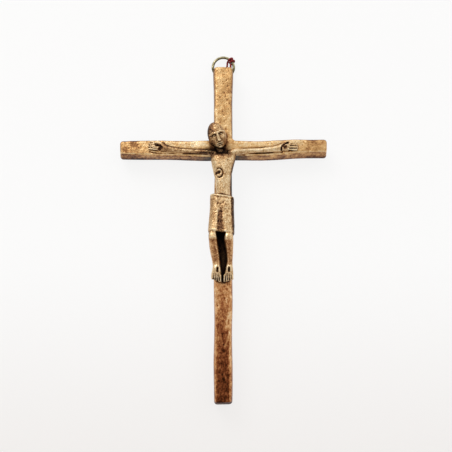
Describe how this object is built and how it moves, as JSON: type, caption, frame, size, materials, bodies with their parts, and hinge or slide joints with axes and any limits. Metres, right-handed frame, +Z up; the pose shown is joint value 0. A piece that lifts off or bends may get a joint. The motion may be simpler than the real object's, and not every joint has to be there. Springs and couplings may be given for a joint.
{
  "type": "wall cross",
  "caption": "Wall cross of cast bronze with a relief figure screwed to its front, a wire hanging ring in an eye behind the top, and red thread tied round the ring.",
  "frame": {"origin": "centre of the crossing of upright and crossbar, on the flat back face", "axes": "+Z up the upright, +X to the right seen from the front, +Y out of the back towards the wall"},
  "size_m": [0.1515, 0.0284, 0.2592],
  "materials": {
    "cast_bronze": "cast, pitted, brushed bright on the edges, with brown patina",
    "figure_bronze": "cast, polished on the high places, with dark patina in the hollows",
    "brass_wire": "drawn wire, dulled",
    "screw_brass": "turned, dulled",
    "red_thread": "twisted, matt"
  },
  "bodies": {
    "cross_body": {"cross": "cast_bronze", "corpus": "figure_bronze", "shoulder_screw_left": "screw_brass", "shoulder_screw_right": "screw_brass", "loincloth_screw": "screw_brass", "hanging_eye": "brass_wire"},
    "ring_body": {"hanging_ring": "brass_wire", "thread_tie": "red_thread"}
  },
  "joints": [
    {"name": "ring_swing", "type": "hinge", "parent": "cross_body", "child": "ring_body", "pos_m": [0, 0.0026, 0.0595], "axis": [-1, 0, 0], "range_deg": [-12, 180]}
  ]
}
